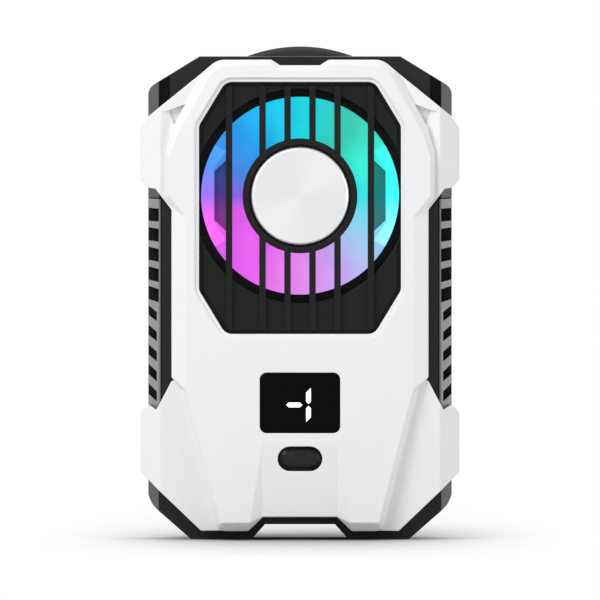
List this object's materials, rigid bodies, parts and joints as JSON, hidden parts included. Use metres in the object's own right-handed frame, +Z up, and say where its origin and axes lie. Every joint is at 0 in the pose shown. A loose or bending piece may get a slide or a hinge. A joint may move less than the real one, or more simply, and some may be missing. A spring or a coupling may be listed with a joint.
{
  "type": "phone cooling fan",
  "caption": "Magnetic phone cooler with a white faceted shell, barred fan grille, lit colour ring, hub disc, small display, push button, side vents and a round magnetic contact face.",
  "frame": {"origin": "middle of the footprint, on the surface that the feet stand on", "axes": "+Z up, the grille and display face -Y, the magnetic contact face faces +Y, +X to the right seen from the front"},
  "size_m": [0.064, 0.029, 0.0986],
  "materials": {
    "shell_white": "satin moulded",
    "grille_black": "fine moulded texture",
    "spun_silver": "spun, bevelled rim",
    "frosted_guide": "frosted, lit from behind",
    "board_black": "solder mask",
    "led_white": "clear resin",
    "smoked_window": "polished",
    "lit_segment": "lit",
    "dark_plastic": "moulded",
    "button_black": "soft touch",
    "board_green": "solder mask",
    "chip_black": "moulded resin",
    "screw_steel": "black zinc",
    "plated_steel": "plated",
    "cell_foil": "foil pouch",
    "foam_dark": "closed-cell foam",
    "case_black": "fine moulded texture",
    "vent_black": "moulded",
    "puck_black": "satin moulded",
    "magnet_nickel": "nickel plated",
    "pad_silicone": "soft silicone",
    "plate_aluminium": "brushed",
    "pump_ceramic": "bare ceramic",
    "sink_aluminium": "extruded",
    "bush_bronze": "sintered",
    "coil_copper": "enamelled wire",
    "fan_frosted": "frosted",
    "magnet_dark": "bonded magnet"
  },
  "bodies": {
    "housing": {"front_shell": "shell_white", "fan_grille": "grille_black", "hub_badge": "spun_silver", "light_guide": "frosted_guide", "led_ring_board": "board_black", "led_chips": "led_white", "display_window": "smoked_window", "display_segments": "lit_segment", "display_module": "dark_plastic", "main_board": "board_green", "board_chips": "chip_black", "board_screws": "screw_steel", "tact_switch": "plated_steel", "usb_c_port": "plated_steel", "usb_c_tongue": "dark_plastic", "battery": "cell_foil", "battery_foam": "foam_dark", "rear_case": "case_black", "vent_louvre_left": "vent_black", "vent_louvre_right": "vent_black", "case_screws": "screw_steel", "magnet_housing": "puck_black", "magnet_ring": "magnet_nickel", "flux_ring": "plated_steel", "contact_pad": "pad_silicone", "cold_plate": "plate_aluminium", "peltier_module": "pump_ceramic", "peltier_gasket": "foam_dark", "heat_sink": "sink_aluminium", "sink_screws": "screw_steel", "fan_frame": "dark_plastic", "fan_screws": "screw_steel", "motor_board": "board_green", "bearing_bush": "bush_bronze", "stator_core": "plated_steel", "stator_coils": "coil_copper"},
    "rotor": {"fan_rotor": "fan_frosted", "rotor_yoke": "plated_steel", "rotor_magnet": "magnet_dark", "rotor_shaft": "plated_steel"},
    "button": {"power_button": "button_black", "switch_plunger": "dark_plastic"}
  },
  "joints": [
    {"name": "fan_spin", "type": "hinge", "parent": "housing", "child": "rotor", "pos_m": [0, 0, 0.0689], "axis": [0, -1, 0], "continuous": true},
    {"name": "button_press", "type": "slide", "parent": "housing", "child": "button", "axis": [0, 1, 0], "range_m": [0, 0.0004], "stiffness_N_per_m": 1500, "springref_m": -0.0003}
  ]
}
